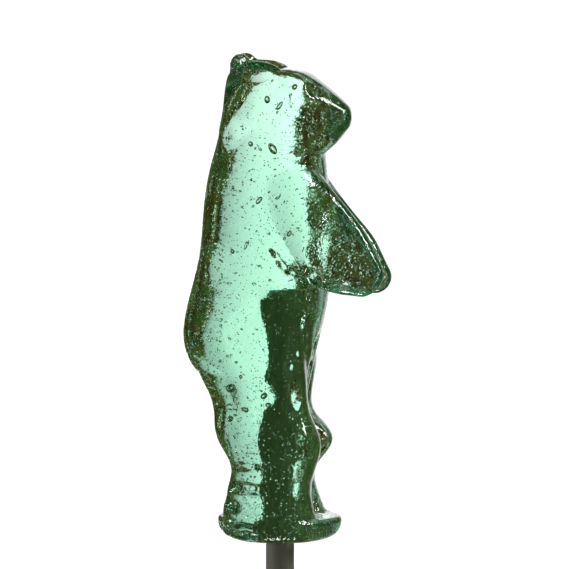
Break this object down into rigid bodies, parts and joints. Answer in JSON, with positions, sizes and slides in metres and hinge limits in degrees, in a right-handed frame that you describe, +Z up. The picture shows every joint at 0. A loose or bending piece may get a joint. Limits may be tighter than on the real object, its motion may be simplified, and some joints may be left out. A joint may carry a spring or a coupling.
{
  "type": "bear lollipop",
  "caption": "Clear green boiled-sugar bear standing on a round base, on a straight stick, lying on its side.",
  "frame": {"origin": "middle of the underside of the whole lollipop's box, as it lies on its right side", "axes": "+X the way the bear faces, +Y along the stick from its free end to the bear's ears, +Z up, towards the bear's left side"},
  "size_m": [0.0296, 0.1484, 0.0175],
  "materials": {
    "candy": "clear green boiled sugar, smooth and glossy, with air bubbles",
    "stick": "dark grey, satin"
  },
  "bodies": {
    "root": {"candy": "candy", "stick": "stick"}
  },
  "joints": []
}
